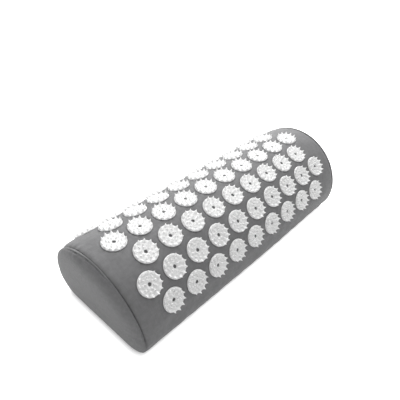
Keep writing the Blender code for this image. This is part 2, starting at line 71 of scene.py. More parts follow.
cushion = {
    "seamLength": 370.0,  # from seam to seam at mid height
    "width": 150.0,
    "height": 103.0,
    "widestHeight": 27.3,
    "footRound": 22.8,  # how far the foot curves in below the widest level
    "endOverhang": 8.1,  # the end seams lean out by this from the base to the crown
    "endBulge": 8.0,  # about how far the ends stand out past their seams
    "domePower": 7,  # the higher, the flatter an end's middle
    "fabric": 1.2,
    "gap": 0.3,
    "archSteps": 600,
    "baseSteps": 60,
}


# Small helpers


def toLinear(hexColour):
    # sRGB to linear: c / 12.92 up to 0.04045, above it ((c + 0.055) / 1.055) ^ 2.4
    srgb = np.array([int(hexColour[at:at + 2], 16) for at in (1, 3, 5)]) / 255
    linear = np.where(srgb <= 0.04045, srgb / 12.92, ((srgb + 0.055) / 1.055) ** 2.4)
    return (*linear.tolist(), 1.0)


def smoothStep(value):
    # 0 below 0, 1 above 1, and 3t^2 - 2t^3 between
    t = np.clip(value, 0.0, 1.0)
    return t * t * (3.0 - 2.0 * t)


def rampUp(value, start, over):
    # 0 up to the start, rising to 1 over the next length
    return smoothStep((value - start) / over)


def rampDown(value, end, over):
    # 1, falling to 0 over the last length before the end
    return smoothStep((end - value) / over)


def ripples(u, v, length, seed, waves=28, spread=(0.7, 1.5)):
    # Sum of plane waves of random heading, phase and near-alike length; about -2 to 2
    dice = np.random.default_rng(seed)
    total = np.zeros(np.broadcast(u, v).shape)
    for _ in range(waves):
        heading, phase = dice.uniform(0, math.tau, 2)
        turns = math.tau / (length * dice.uniform(*spread))
        total += np.sin(turns * (u * math.cos(heading) + v * math.sin(heading)) + phase)
    return total / math.sqrt(waves / 2)


def gridFaces(rows, columns, closeRows=False, closeColumns=False):
    # Quads of a grid of points, row by row; closed ways run round to the start
    row = np.arange(rows if closeRows else rows - 1)[:, None]
    column = np.arange(columns if closeColumns else columns - 1)[None, :]
    nextRow, nextColumn = (row + 1) % rows, (column + 1) % columns
    corners = (row * columns + column, row * columns + nextColumn,
               nextRow * columns + nextColumn, nextRow * columns + column)
    return np.stack(np.broadcast_arrays(*corners), axis=-1).reshape(-1, 4)


def fanFaces(ring, middle):
    # Triangles from a closed ring of points to one point
    return np.stack((ring, np.roll(ring, -1), np.full(len(ring), middle)), axis=-1)


def tubeFaces(rings, around, copies=1):
    # Faces of closed tubes with flat ends, one after another, each of rings round its axis
    ring = np.arange(around)[None]
    last = (rings - 1) * around
    parts = [gridFaces(rings, around, False, True)[:, ::-1], ring, last + ring[:, ::-1]]
    first = rings * around * np.arange(copies)[:, None, None]
    return [(part[None] + first).reshape(-1, part.shape[1]) for part in parts]


def makeMesh(name, points, faces, uv=None, flip=False):
    # Points in millimetres; faces is a list of arrays, one for each number of corners
    mesh = bpy.data.meshes.new(name)
    if flip:
        faces = [part[:, ::-1] for part in faces]
    points = np.asarray(points, dtype=np.float64).reshape(-1, 3) * mm
    corners = np.concatenate([part.ravel() for part in faces]).astype(np.int32)
    counts = np.concatenate([np.full(len(part), part.shape[1]) for part in faces])
    starts = np.concatenate(([0], np.cumsum(counts)[:-1])).astype(np.int32)
    mesh.vertices.add(len(points))
    mesh.vertices.foreach_set("co", points.astype(np.float32).ravel())
    mesh.loops.add(len(corners))
    mesh.loops.foreach_set("vertex_index", corners)
    mesh.polygons.add(len(counts))
    mesh.polygons.foreach_set("loop_start", starts)
    mesh.update(calc_edges=True)
    if uv is not None:
        layer = mesh.uv_layers.new(name="cloth")
        places = np.asarray(uv).reshape(-1, 2)[corners]
        layer.data.foreach_set("uv", places.astype(np.float32).ravel())
    mesh.shade_smooth()
    return mesh


def addObject(name, data):
    thing = bpy.data.objects.new(name, data)
    bpy.context.scene.collection.objects.link(thing)
    return thing


def addPiece(name, mesh, material, nodes=(), body="cushion"):
    # Puts a mesh into the scene as a piece of a body, in place of any nodes given
    piece = addObject(name, mesh)
    mesh.materials.append(material)
    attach(piece, body)
    if nodes:
        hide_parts(*nodes)
    return piece


def addSheet(name, mesh, material, node, thickness):
    # A sheet of cloth over the foam, as thick as given behind its faces' front
    piece = addPiece(name, mesh, material, (node,))
    wall = piece.modifiers.new("thickness", "SOLIDIFY")
    wall.thickness = thickness * mm
    wall.offset = -1.0
    wall.use_even_offset = False


# Materials


def addNode(tree, kind, fields=None, sockets=None):
    # Fields are the node's own settings; a socket takes a value or another node's output
    node = tree.nodes.new(kind)
    for name, value in (fields or {}).items():
        setattr(node, name, value)
    for name, value in (sockets or {}).items():
        if isinstance(value, bpy.types.NodeSocket):
            tree.links.new(value, node.inputs[name])
        else:
            node.inputs[name].default_value = value
    return node


def newMaterial(name, settings):
    # A material with plain values on its shader's sockets
    material = bpy.data.materials.new(name)
    material.use_nodes = True
    tree = material.node_tree
    shader = tree.nodes["Principled BSDF"]
    for socket, value in settings.items():
        shader.inputs[socket].default_value = value
    return material, tree, shader


def applyPattern(tree, shader, settings, shade, height=None):
    # The shade, 0 to 1, takes the colour from dark to light; a height raises the surface
    colour = addNode(tree, "ShaderNodeMix", {"data_type": "RGBA"},
                     {"Factor": shade, "A": toLinear(settings["dark"]),
                      "B": toLinear(settings["light"])})
    tree.links.new(colour.outputs["Result"], shader.inputs["Base Color"])
    if height is not None:
        bump = addNode(tree, "ShaderNodeBump", {},
                       {"Height": height, "Strength": settings["relief"],
                        "Distance": settings["rise"] * mm})
        tree.links.new(bump.outputs[0], shader.inputs["Normal"])


weave = {
    "dark": "#6a6a6b",
    "light": "#79797a",
    "thread": 0.9,  # real threads are about 0.5 mm apart; drawn coarser so that they show
    "rise": 0.10,
    "relief": 0.7,
    "threadFullness": 0.6,  # below 1 the threads are fuller than a sine wave
    "slub": (12.5, 0.769),  # length and width of the thick places in a yarn
    "mottle": 5.0,
    "mottleShare": 0.45,
}
tapeWeave = {**weave, "dark": "#5a5a5b", "light": "#6a6a6b", "thread": 0.6}


def wovenCotton(name, settings):
    # Plain-woven cotton canvas, dyed yarn: matt, with a pale bloom at flat angles. Warp
    # and weft are a shade apart, and slubs along the yarns give it a heather look.
    material, tree, shader = newMaterial(name, {
        "Roughness": 0.75, "IOR": 1.53, "Sheen Weight": 0.15, "Sheen Roughness": 0.4,
    })
    uv = addNode(tree, "ShaderNodeUVMap", {"uv_map": "cloth"}).outputs["UV"]
    turns = addNode(tree, "ShaderNodeVectorMath", {"operation": "SCALE"},
                    {0: uv, "Scale": math.pi / settings["thread"]})
    waves = addNode(tree, "ShaderNodeVectorMath", {"operation": "SINE"}, {0: turns.outputs[0]})
    parts = addNode(tree, "ShaderNodeSeparateXYZ", {}, {0: waves.outputs[0]})
    # Where the product of the two sines is positive the warp lies on top, else the weft
    over = addNode(tree, "ShaderNodeMath", {"operation": "MULTIPLY"},
                   {0: parts.outputs["X"], 1: parts.outputs["Y"]})
    crown = addNode(tree, "ShaderNodeMath", {"operation": "ABSOLUTE"}, {0: over.outputs[0]})
    rise = addNode(tree, "ShaderNodeMath", {"operation": "POWER"},
                   {0: crown.outputs[0], 1: settings["threadFullness"]})
    along, aside = (1.0 / size for size in settings["slub"])
    slubs = []
    for stretch in ((along, aside, 1.0), (aside, along, 1.0)):
        drawn = addNode(tree, "ShaderNodeMapping", {}, {"Vector": uv, "Scale": stretch})
        noise = addNode(tree, "ShaderNodeTexNoise", {"noise_dimensions": "2D"},
                        {"Vector": drawn.outputs[0], "Scale": 1.0, "Detail": 2.0})
        slubs.append(noise.outputs["Fac"])
    top = addNode(tree, "ShaderNodeMath", {"operation": "GREATER_THAN"},
                  {0: over.outputs[0], 1: 0.0})
    yarn = addNode(tree, "ShaderNodeMix", {"data_type": "FLOAT"},
                   {"Factor": top.outputs[0], "A": slubs[0], "B": slubs[1]})
    mottle = addNode(tree, "ShaderNodeTexNoise", {"noise_dimensions": "2D"},
                     {"Vector": uv, "Scale": 1.0 / settings["mottle"], "Detail": 3.0})
    blend = addNode(tree, "ShaderNodeMix", {"data_type": "FLOAT"},
                    {"Factor": settings["mottleShare"], "A": yarn.outputs["Result"],
                     "B": mottle.outputs["Fac"]})
    shade = addNode(tree, "ShaderNodeMapRange", {},
                    {"Value": blend.outputs["Result"], "From Min": 0.3, "From Max": 0.7})
    applyPattern(tree, shader, settings, shade.outputs[0], rise.outputs[0])
    return material


absFinish = {
    "dark": "#f6f6f5",
    "light": "#fcfcfb",
    "soak": 2.5,  # how far light spreads inside
    "flow": 7.15,  # size of the flow marks
    "grit": 0.625,  # the mould's grit is finer; drawn coarser so that it shows
    "rise": 0.03,
    "relief": 0.35,
}


def mouldedAbs(settings):
    # White ABS, injection moulded: a satin skin, faintly uneven, with flow marks
    material, tree, shader = newMaterial("mouldedAbs", {
        "IOR": 1.53, "Subsurface Weight": 1.0, "Subsurface Scale": settings["soak"] * mm,
        "Subsurface Radius": (1.0, 1.0, 1.0),
    })
    place = addNode(tree, "ShaderNodeTexCoord").outputs["Object"]
    flow = addNode(tree, "ShaderNodeTexNoise", {},
                   {"Vector": place, "Scale": 1.0 / (settings["flow"] * mm), "Detail": 2.0})
    gloss = addNode(tree, "ShaderNodeMapRange", {},
                    {"Value": flow.outputs["Fac"], "To Min": 0.30, "To Max": 0.44})
    tree.links.new(gloss.outputs[0], shader.inputs["Roughness"])
    skin = addNode(tree, "ShaderNodeTexNoise", {},
                   {"Vector": place, "Scale": 1.0 / (settings["grit"] * mm), "Detail": 2.0})
    applyPattern(tree, shader, settings, flow.outputs["Fac"], skin.outputs["Fac"])
    return material


foamFinish = {"dark": "#cfcbb8", "light": "#efece0", "cell": 1.11, "rise": 0.4, "relief": 0.8}


def cellFoam(settings):
    # Cut polyurethane foam: matt, warm white, with open cells about a millimetre across. Colour and
    # height both follow the distance from each cell's middle, so the hollows are low and painted
    # darker: painted shade in the cells.
    material, tree, shader = newMaterial("polyurethaneFoam", {"Roughness": 0.95, "IOR": 1.5})
    place = addNode(tree, "ShaderNodeTexCoord").outputs["Object"]
    cells = addNode(tree, "ShaderNodeTexVoronoi", {},
                    {"Vector": place, "Scale": 1.0 / (settings["cell"] * mm)})
    # The cells' hollows are painted darker than their rims: painted shade
    applyPattern(tree, shader, settings, cells.outputs["Distance"], cells.outputs["Distance"])
    return material


nylonFinish = {"dark": "#565657", "light": "#6c6c6d", "grain": 1.11, "rise": 0.04, "relief": 0.4}


def mouldedNylon(settings):
    # Zip teeth: dyed nylon, moulded onto the tape, with a low sheen
    material, tree, shader = newMaterial("mouldedNylon", {"Roughness": 0.42, "IOR": 1.53})
    place = addNode(tree, "ShaderNodeTexCoord").outputs["Object"]
    grain = addNode(tree, "ShaderNodeTexNoise", {},
                    {"Vector": place, "Scale": 1.0 / (settings["grain"] * mm), "Detail": 2.0})
    applyPattern(tree, shader, settings, grain.outputs["Fac"], grain.outputs["Fac"])
    return material


nickelFinish = {
    "dark": "#b9b7b2",
    "light": "#dedcd7",
    "rub": (2.22, 0.333),  # a scratch's length and width; real ones are finer and wouldn't show
    "rise": 0.02,
    "relief": 0.15,
}


def platedZinc(settings):
    # Die-cast zinc with nickel plate: bright, a little soft, with fine rubbed scratches
    material, tree, shader = newMaterial("nickelPlatedZinc", {"Metallic": 1.0})
    place = addNode(tree, "ShaderNodeTexCoord").outputs["Object"]
    along, aside = (1.0 / (size * mm) for size in settings["rub"])
    drawn = addNode(tree, "ShaderNodeMapping", {},
                    {"Vector": place, "Scale": (along, aside, aside)})
    rubs = addNode(tree, "ShaderNodeTexNoise", {},
                   {"Vector": drawn.outputs[0], "Scale": 1.0, "Detail": 3.0})
    gloss = addNode(tree, "ShaderNodeMapRange", {},
                    {"Value": rubs.outputs["Fac"], "To Min": 0.2, "To Max": 0.4})
    tree.links.new(gloss.outputs[0], shader.inputs["Roughness"])
    applyPattern(tree, shader, settings, rubs.outputs["Fac"], rubs.outputs["Fac"])
    return material


threadFinish = {"dark": "#6e6e6f", "light": "#8e8e8f", "twist": 1.142}


def sewingThread(settings):
    # Spun polyester thread: twisted, so it shows slanting ridges along each stitch; the ridges are
    # painted as light and dark bands in the colour, a painted highlight and shade, with no bump.
    # Blender's wave bands are tau / 10 apart at a scale of 1.
    material, tree, shader = newMaterial("spunPolyesterThread", {
        "Roughness": 0.7, "IOR": 1.57, "Sheen Weight": 0.3, "Sheen Roughness": 0.4,
    })
    place = addNode(tree, "ShaderNodeTexCoord").outputs["Object"]
    # Light and dark bands along the twist: painted highlight and shade on the ridges
    twist = addNode(tree, "ShaderNodeTexWave", {"bands_direction": "DIAGONAL"},
                    {"Vector": place, "Scale": math.tau / 10 / (settings["twist"] * mm),
                     "Distortion": 0.5})
    applyPattern(tree, shader, settings, twist.outputs["Fac"])
    return material


def seenRays(tree):
    # 1 for a ray from the camera, off a mirror or through glass, else 0
    path = addNode(tree, "ShaderNodeLightPath")
    mirror = addNode(tree, "ShaderNodeMath", {"operation": "MAXIMUM"},
                     {0: path.outputs["Is Camera Ray"], 1: path.outputs["Is Glossy Ray"]})
    return addNode(tree, "ShaderNodeMath", {"operation": "MAXIMUM"},
                   {0: mirror.outputs[0], 1: path.outputs["Is Transmission Ray"]}).outputs[0]


def floorPaint(settings):
    # Matt white studio floor. The camera, mirrors and glass see it brighter by a glow, save close
    # under the pillow, where ambient occlusion dims the glow: a painted contact shadow over the
    # floor's own shade.
    material, tree, shader = newMaterial("studioFloor", {
        "Base Color": toLinear("#f3f3f3"), "Roughness": 0.9, "Specular IOR Level": 0.1,
        "Emission Color": (1.0, 1.0, 1.0, 1.0),
    })
    # Ambient occlusion scales the glow down near the pillow: painted contact shadow
    near = addNode(tree, "ShaderNodeAmbientOcclusion", {"samples": settings["floorSamples"]},
                   {"Distance": settings["floorShade"] * mm})
    lift = addNode(tree, "ShaderNodeMath", {"operation": "MULTIPLY"},
                   {0: near.outputs["AO"], 1: settings["floorLift"]})
    seen = addNode(tree, "ShaderNodeMath", {"operation": "MULTIPLY"},
                   {0: seenRays(tree), 1: lift.outputs[0]})
    tree.links.new(seen.outputs[0], shader.inputs["Emission Strength"])
    return material


# Camera and light


def setCamera(settings):
    # The photo's camera: turned about the vertical, tilted down from level, then rolled
    data = bpy.data.cameras.new("photoView")
    data.lens, data.sensor_width = settings["lens"], settings["sensor"]
    data.shift_x, data.shift_y = settings["shift"]
    data.clip_start, data.clip_end = (distance * mm for distance in settings["clip"])
    camera = addObject("photoView", data)
    turns = ((settings["heading"], "Z"), (90.0 - settings["down"], "X"), (settings["roll"], "Z"))
    place = Matrix.Translation([value * mm for value in settings["place"]])
    for degrees, axis in turns:
        place = place @ Matrix.Rotation(math.radians(degrees), 4, axis)
    camera.matrix_world = place
    bpy.context.scene.camera = camera


def addLamp(name, settings):
    # A round, flat lamp that faces the pillow's middle
    data = bpy.data.lights.new(name, "AREA")
    data.shape, data.size = "DISK", settings["size"] * mm
    data.energy = settings["watts"]
    place = Matrix.Translation([value * mm for value in settings["place"]])
    facing = place.translation.to_track_quat("Z", "Y").to_matrix().to_4x4()
    addObject(name, data).matrix_world = place @ facing


def setStudio(settings):
    # The lamps, even light from all round, and a white floor and background
    for name, lamp in settings["lamps"].items():
        addLamp(name, lamp)
    world = bpy.data.worlds.new("studio")
    bpy.context.scene.world = world
    world.use_nodes = True
    tree = world.node_tree
    seen = seenRays(tree)
    strength = addNode(tree, "ShaderNodeMix", {"data_type": "FLOAT"},
                       {"Factor": seen, "A": settings["ambient"], "B": 1.0})
    background = tree.nodes["Background"]
    background.inputs["Color"].default_value = (1.0, 1.0, 1.0, 1.0)
    tree.links.new(strength.outputs["Result"], background.inputs["Strength"])
    bpy.context.scene.view_settings.view_transform = "Standard"
    reach = settings["floorSize"] / 2
    corners = [(-reach, -reach, 0.0), (reach, -reach, 0.0), (reach, reach, 0.0), (-reach, reach, 0.0)]
    floor = addObject("floor", makeMesh("floor", corners, [np.arange(4)[None]]))
    floor.data.materials.append(floorPaint(settings))


# Section of the cushion


def sectionTable():
    # Arc length from the crown, y, z and outward normal down the rear half: an upper
    # quarter ellipse, a smaller one under the widest level, and the flat base
    turn = np.linspace(0.0, math.pi / 2, cushion["archSteps"])
    sine, cosine = np.sin(turn), np.cos(turn)
    half, level, foot = cushion["width"] / 2, cushion["widestHeight"], cushion["footRound"]
    rise = cushion["height"] - level
    upper = (half * sine, level + rise * cosine, sine / half, cosine / rise)
    lower = (half - foot + foot * cosine, level - level * sine, cosine / foot, -sine / level)
    across = np.linspace(half - foot, 0.0, cushion["baseSteps"])[1:]
    base = (across, 0 * across, 0 * across, 0 * across - 1.0)
    y, z, ny, nz = (np.concatenate((a, b[1:], c)) for a, b, c in zip(upper, lower, base))
    size = np.hypot(ny, nz)
    arc = np.concatenate(([0.0], np.cumsum(np.hypot(np.diff(y), np.diff(z)))))
    return arc, y, z, ny / size, nz / size


table = sectionTable()
fullArc = float(table[0][-1])
widestArc = float(table[0][np.argmax(table[1])])
footArc = fullArc - (cushion["width"] / 2 - cushion["footRound"])
halfLength = cushion["seamLength"] / 2


def wrapArc(arc):
    # Arc length from the crown, brought between the two ways round to the base's middle
    return np.mod(np.asarray(arc, dtype=float) + fullArc, 2 * fullArc) - fullArc


def sectionAt(arc, out=0.0):
    # Outline point at an arc length from the crown (rear positive, running on round the
    # base), moved outwards along its normal; then the normal
    turned = wrapArc(arc)
    y, z, ny, nz = (np.interp(np.abs(turned), table[0], column) for column in table[1:])
    side = np.where(turned < 0.0, -1.0, 1.0)
    return side * (y + out * ny), z + out * nz, side * ny, nz


def endX(height):
    # Distance from the middle to the end seam, which leans out towards the crown
    return halfLength + cushion["endOverhang"] * (height / cushion["height"] - 0.5)


# Where two numbers give a ramp, the first is its start or end and the second its length
seam = {
    "tuck": 4.2,  # how deep the cover is drawn in
    "crownShare": 0.45,  # share of the tuck that is left at the crown
    "grow": (20.0, 50.0),  # from the crown, where the near end's tuck grows to its full depth
    "farShare": 0.1,  # the far end's tuck grows by this much of that
    "filledShare": 0.88,  # how much of the tuck the foam fills, low down
    "filled": (-10.0, 14.0),  # from the widest level
    "knot": 0.9,
    "knotAt": 8.0,  # above the widest level
    "knotLong": 2.6,
    "roll": 9.0,  # the tuck's soft part reaches this far from the seam
    "rollShare": 0.45,
    "crease": 1.8,  # the tuck's sharp part dies away over this length
    "creaseShare": 0.55,
}
footSlack = {
    "depth": 2.0,  # at the far end
    "from": (-12.0, 16.0),  # from the widest level
    "under": (30.0, 25.0),  # past the foot, under the base
}


def seamDepth(arc, side):
    # How far the seam is drawn in round the outline: some at the crown, more down the
    # near end's sides, with a small knot above the widest level, and slight lower down,
    # where the foam fills the corner
    turned = np.abs(wrapArc(arc))
    knot = np.exp(-((turned - widestArc + seam["knotAt"]) / seam["knotLong"]) ** 2)
    more = (1.0 - seam["crownShare"]) * np.where(side < 0.0, 1.0, seam["farShare"])
    grown = seam["crownShare"] + more * rampUp(turned, *seam["grow"])
    filled = seam["filledShare"] * rampUp(turned - widestArc, *seam["filled"])
    return seam["tuck"] * grown * (1.0 - filled) + seam["knot"] * knot


def slack(across, arc):
    # How far the foot of the front side is drawn in where the foam fills it less, from
    # none at the middle to its full value at the far end
    down = -wrapArc(arc)
    foot = rampUp(down - widestArc, *footSlack["from"]) * rampDown(down - footArc, *footSlack["under"])
    return footSlack["depth"] * smoothStep(across) * foot


# Spiked discs

discs = {
    "diameter": 27.0,
    "plate": 1.5,
    "hole": 4.2,
    "holeEdge": 0.3,  # rounding of the hole
    "edge": 0.6,  # rounding of the rim
    "backIn": 0.2,  # the back is smaller than the rim by this all round
    "lift": 0.3,
    "pitch": 34.4,  # along a row
    "rowPitch": 29.0,
    "rowShift": -3.2,
    "rowPuff": 0.7,
    "turn": 47.0,  # degrees from one disc to the next
    "rows": (9, 10, 9, 10, 9, 10, 9),  # from the lowest front row over the crown
    "separateNodes": 47,
    "flare": 1.2,  # above 1 the spikes are hollow-sided
    "steps": 144,
    "faceSteps": 8,
    "edgeSteps": 5,
    "backSteps": 4,
    "sharpAngle": 50.0,
}
spikeRings = (
    # spikes, foot's middle, tip's radius, foot's half-width out and round, first angle
    {"count": 12, "foot": 11.4, "tip": 13.5, "out": 1.5, "round": 2.6, "start": 7.5, "tall": 3.9},
    {"count": 9, "foot": 7.8, "tip": 8.1, "out": 1.3, "round": 1.3, "start": 20.0, "tall": 3.3},
    {"count": 6, "foot": 4.7, "tip": 4.9, "out": 1.25, "round": 1.25, "start": 30.0, "tall": 3.0},
)


def discSeats():
    # Each disc's place, axes and name; a row lies on the chord between two ridges that
    # stand proud half a row away on either side
    seats = []
    middleRow = len(discs["rows"]) // 2
    for row, count in enumerate(discs["rows"]):
        ridges = ((row - middleRow) + np.array((-0.5, 0.5))) * discs["rowPitch"]
        y, z, _, _ = sectionAt(ridges, discs["rowPuff"])
        tilt = math.atan2(z[1] - z[0], y[1] - y[0])
        axes = np.array(((1.0, 0.0, 0.0), (0.0, math.cos(tilt), math.sin(tilt)),
                         (0.0, -math.sin(tilt), math.cos(tilt))))
        for step in range(count):
            x = discs["rowShift"] + (step - (count - 1) / 2) * discs["pitch"]
            seats.append({"name": "disc_row%d_%02d" % (row + 1, step + 1), "axes": axes,
                          "place": np.array((x, y.mean(), z.mean()))})
    return seats


def discPoints():
    # A profile turned about the disc's axis: back, rounded rim, face and hole. Over each
    # spike's foot the face rises as height x (1 - distance) ^ flare and leans to the tip
    rim, hole, plate = discs["diameter"] / 2, discs["hole"] / 2, discs["plate"]
    edge, lip = discs["edge"], discs["holeEdge"]
    bend = np.linspace(0.0, math.pi / 2, discs["edgeSteps"])
    marks = [rim - edge] + [ring["foot"] for ring in spikeRings] + [hole + lip]
    face = np.concatenate([np.linspace(a, b, discs["faceSteps"])[:-1]
                           for a, b in zip(marks[:-1], marks[1:])])
    back = np.linspace(hole, rim - discs["backIn"], discs["backSteps"])
    radius = np.concatenate((back, rim - edge + edge * np.cos(bend)[:-1], face,
                             hole + lip - lip * np.sin(bend)))
    height = np.concatenate((0 * back, plate - edge + edge * np.sin(bend)[:-1],
                             np.full(len(face), plate), plate - lip + lip * np.cos(bend)))
    angle = np.arange(discs["steps"]) * math.tau / discs["steps"]
    radius, angle = np.meshgrid(radius, angle, indexing="ij")
    height = np.repeat(height[:, None], discs["steps"], axis=1)
    x, y = radius * np.cos(angle), radius * np.sin(angle)
    onFace = np.isclose(height, plate) & (radius > hole + lip / 2)
    for ring in spikeRings:
        for step in range(ring["count"]):
            heading = math.radians(ring["start"]) + math.tau * step / ring["count"]
            outwards = (radius * np.cos(angle - heading) - ring["foot"]) / ring["out"]
            sideways = radius * np.sin(angle - heading) / ring["round"]
            rise = np.clip(1.0 - np.hypot(outwards, sideways), 0.0, 1.0) * onFace
            lean = (ring["tip"] - ring["foot"]) * rise
            x, y = x + lean * math.cos(heading), y + lean * math.sin(heading)
            height = height + ring["tall"] * rise ** discs["flare"]
    return np.stack((x, y, height), axis=-1)


def makeDiscs(seats, material):
    # The same disc on every seat, each spun a little further about its axis
    shape = discPoints()
    rows, columns, _ = shape.shape
    faces = gridFaces(rows, columns, True, True)
    for number, seat in enumerate(seats):
        turn = math.radians(number * discs["turn"])
        spun = np.array(((math.cos(turn), math.sin(turn), 0.0),
                         (-math.sin(turn), math.cos(turn), 0.0), (0.0, 0.0, 1.0)))
        placed = (shape.reshape(-1, 3) @ spun + (0.0, 0.0, discs["lift"])) @ seat["axes"]
        mesh = makeMesh(seat["name"], placed + seat["place"], [faces])
        mesh.set_sharp_from_angle(angle=math.radians(discs["sharpAngle"]))
        nodes = (seat["name"],) if number < discs["separateNodes"] else ()
        addPiece("spiked_" + seat["name"], mesh, material, nodes)


# Cover

cover = {
    "topGrid": (236, 168),  # points from end to end, and from the foot to the zip
    "baseGrid": (118, 90),
    "crowding": 1.35,  # the nearer to pi / 2, the closer the columns stand at the seams
    "allowance": 3.6,  # seam edge that is turned to the inside
    "allowanceShares": (1.0, 0.55, 0.22, 0.06),
    "footSeam": 0.15,  # from the foot to the edges that meet there
    "pressed": (16.5, 3.6),  # from a disc's middle
    "pressDepth": 8.0,  # only fabric this near to a seat is pressed
    "puff": (5.0, 16.0),  # from the end seams
    "rows": (8.0, 10.0),  # past the outer ridges
    "ripple": 0.14,
    "rippleLength": 24.0,
    "rippleShare": 0.3,  # share of the ripples that is left at the end seams
    "pucker": 0.22,
    "puckerLength": 6.5,
    "puckerReach": 5.0,
    "puckerWaves": 9,
    "patchLength": 60.0,
    "patchLevel": 0.4,
    "patchSwing": 0.5,
    "underSeam": 0.6,  # how far the foot seam is drawn in
    "underReach": 1.6,
    "foot": (2.0, 14.0),  # up from the foot, where the top panel starts to swell
    "tight": 0.1,  # it lies this much closer by the foot
    "tightTo": (24.0, 20.0),
    "baseIn": 0.15,
    "baseFrom": (-10.0, 14.0),  # from the rear foot
    "baseRipple": 0.35,
    "baseRippleLength": 30.0,
}
hems = {
    "half": 5.5,  # from the zip's middle line to a hem
    "rows": 7,
    "deep": 2.4,  # the hem has its own rows of points over this distance
    "above": 3.0,  # and the panel's rows end here
    "close": (173.2, 8.0),  # the hems run together from here to the end
    "closeReach": 25.0,  # fabric this far from a hem moves with it
    "closeGap": 0.35,  # left on each side of the middle line
    "round": 0.8,  # over this distance the hem's edge turns in
    "drop": 0.4,
    "stitchIn": 2.4,  # from the hem to its stitches
    "stitchPitch": 3.4,
    "stitchLong": 2.7,
    "stitchThick": 0.5,
    "stitchOver": 0.14,  # how far a stitch's middle lies over the cloth
    "stitchSink": 0.3,
    "stitchStray": 0.12,
    "strayLength": 20.0,
    "strayWaves": 7,
    "stitchShares": (-0.96, -0.75, -0.4, 0.0, 0.4, 0.75, 0.96),
    "stitchSides": 8,
    "stitchesTo": 167.0,
}


def seamGrid(columns):
    # Places from seam to seam, -1 to 1, closer together near the seams
    even = np.linspace(-1.0, 1.0, columns)
    return np.sin(cover["crowding"] * even) / math.sin(cover["crowding"])


def puckers(arc, seed):
    # Small gathers along a seam: a random wave, present in patches
    along, waves = 0 * arc, cover["puckerWaves"]
    patches = cover["patchSwing"] * ripples(arc, along, cover["patchLength"], seed + 1, waves)
    gathers = ripples(arc, along, cover["puckerLength"], seed, waves)
    return smoothStep(cover["patchLevel"] + patches) * gathers


def pressByDiscs(points, seats):
    # A disc holds the fabric on its seat: height over the seat is taken away under the
    # disc, less and less across the gap to the next one
    for seat in seats:
        place = (points - seat["place"]) @ seat["axes"].T
        reach = np.hypot(place[..., 0], place[..., 1])
        share = rampDown(reach, *cover["pressed"]) * (np.abs(place[..., 2]) < cover["pressDepth"])
        points = points - (share * place[..., 2])[..., None] * seat["axes"][2]
    return points


def arch(across, arc, out, allowance):
    # Cover surface: the section at an arc length, drawn in towards the seams by the tuck's
    # roll share x (1 - distance / roll) ^ 3 and its crease share x exp(-distance / crease)
    out = out - slack(across, arc)
    _, z, _, _ = sectionAt(arc, out)
    distance = endX(z) * (1.0 - np.abs(across))
    roll = seam["rollShare"] * np.clip(1.0 - distance / seam["roll"], 0.0, 1.0) ** 3
    crease = seam["creaseShare"] * np.exp(-distance / seam["crease"])
    tuck = seamDepth(arc, across) * (roll + crease)
    y, z, _, _ = sectionAt(arc, out - tuck - allowance)
    x = across * endX(z) - np.sign(across) * cushion["gap"] / 2
    return np.stack((x, y, z), axis=-1)


def withAllowance(across):
    # Adds the turned-in seam edge at both ends of the grid
    inwards = cover["allowance"] * np.array(cover["allowanceShares"])
    turned = np.concatenate((inwards, 0 * across, inwards[::-1]))
    beyond = np.ones(len(inwards))
    return np.concatenate((-beyond, across, beyond)), turned


def topSwell(across, arc):
    # How far the top panel stands out before the discs press it: puffed where the rows
    # are, with soft ripples, small gathers at the end seams, and drawn in at the foot seam
    x = halfLength * across
    distance = halfLength - np.abs(x)
    inside = rampUp(distance, *cover["puff"])
    ridges = (len(discs["rows"]) // 2 + 0.5) * discs["rowPitch"]
    out = inside * rampDown(np.abs(arc) - ridges, *cover["rows"]) * discs["rowPuff"]
    rippled = cover["rippleShare"] + (1.0 - cover["rippleShare"]) * inside
    out = out + cover["ripple"] * ripples(x, arc, cover["rippleLength"], seed=5) * rippled
    atSeam = np.exp(-distance / cover["puckerReach"])
    gathers = np.where(across < 0.0, puckers(arc, seed=11), puckers(arc, seed=12))
    out = out + cover["pucker"] * atSeam * gathers
    up = arc + footArc
    out = out * rampUp(up, *cover["foot"]) - cover["tight"] * rampDown(up, *cover["tightTo"])
    return out - cover["underSeam"] * np.exp(-up / cover["underReach"])


def baseSwell(across, arc):
    # The base panel: flat but for slight ripples, and drawn in at the foot seam
    lower = cover["baseIn"] * rampUp(arc - footArc, *cover["baseFrom"])
    waves = ripples(halfLength * across, arc, cover["baseRippleLength"], seed=8)
    toSeam = 2 * fullArc - footArc - arc
    drawn = cover["underSeam"] * np.exp(-toSeam / cover["underReach"])
    return -lower * (1.0 + cover["baseRipple"] * waves) - drawn


def closeHem(across, arc, hem, side):
    # Beyond the zip's ends the hem runs over to the middle line, and its edge is rounded
    closing = rampUp(halfLength * np.abs(across), *hems["close"])
    reach = side * (arc - hem)
    near = smoothStep(1.0 + reach / hems["closeReach"])
    edge = np.clip(1.0 + reach / hems["round"], 0.0, 1.0) * (1.0 - closing)
    moved = side * closing * near * (hems["half"] - hems["closeGap"])
    return arc + moved, -hems["drop"] * edge ** 2


